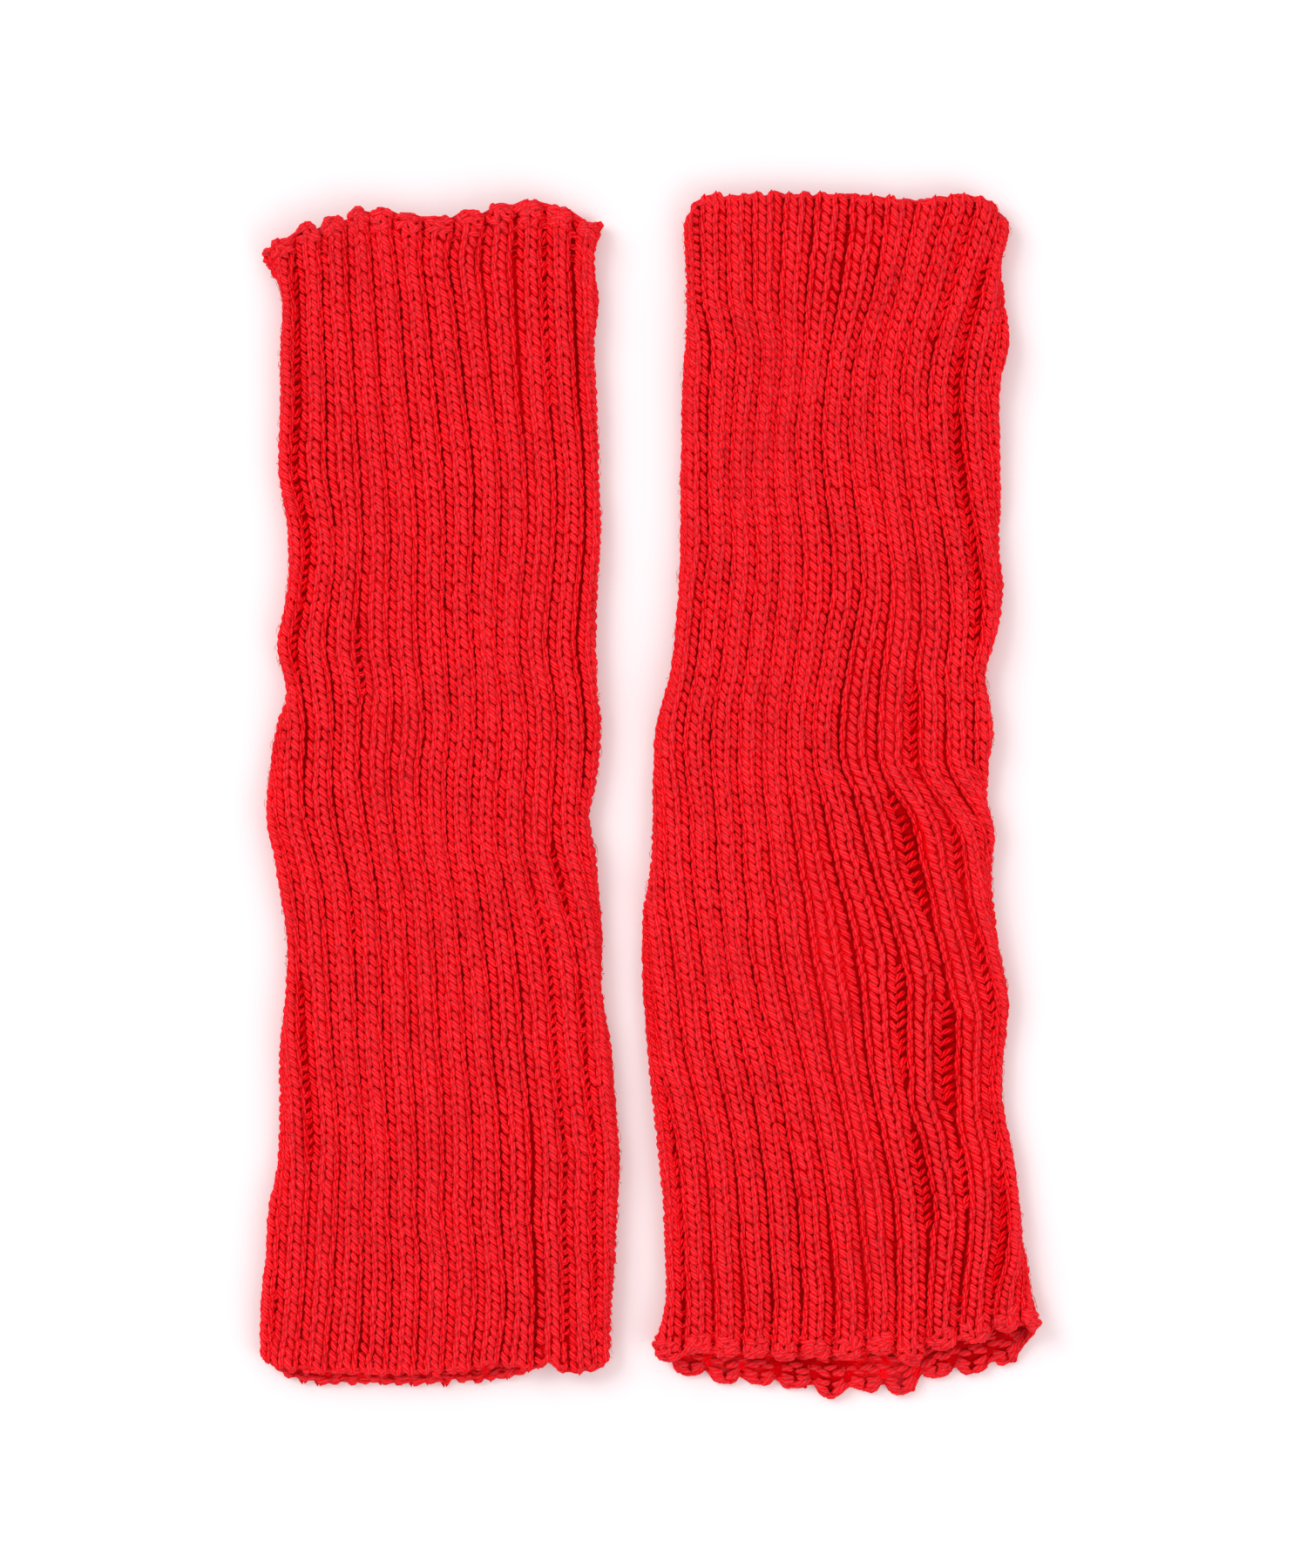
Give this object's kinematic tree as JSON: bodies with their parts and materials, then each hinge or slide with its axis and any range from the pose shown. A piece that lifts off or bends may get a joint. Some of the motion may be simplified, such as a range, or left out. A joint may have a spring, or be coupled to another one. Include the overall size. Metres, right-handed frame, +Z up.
{
  "type": "pair of leg warmers",
  "caption": "Pair of red chunky 2 by 2 rib knit leg warmers laid flat side by side, head to tail, each an open tube with a frilled loose edge and a neat edge.",
  "frame": {"origin": "on the surface that the pair lies on, in the middle of the pair's outline seen from above", "axes": "+X from the left leg warmer to the right one, +Y along the tubes towards the left one's loose edge and the right one's neat edge, +Z up off the surface"},
  "size_m": [0.2682, 0.4134, 0.0118],
  "materials": {
    "red_rib_knit": "matt chunky rib knit in bright red plied yarn, slightly fuzzy"
  },
  "bodies": {
    "root": {"left_leg_warmer": "red_rib_knit", "right_leg_warmer": "red_rib_knit"}
  },
  "joints": []
}
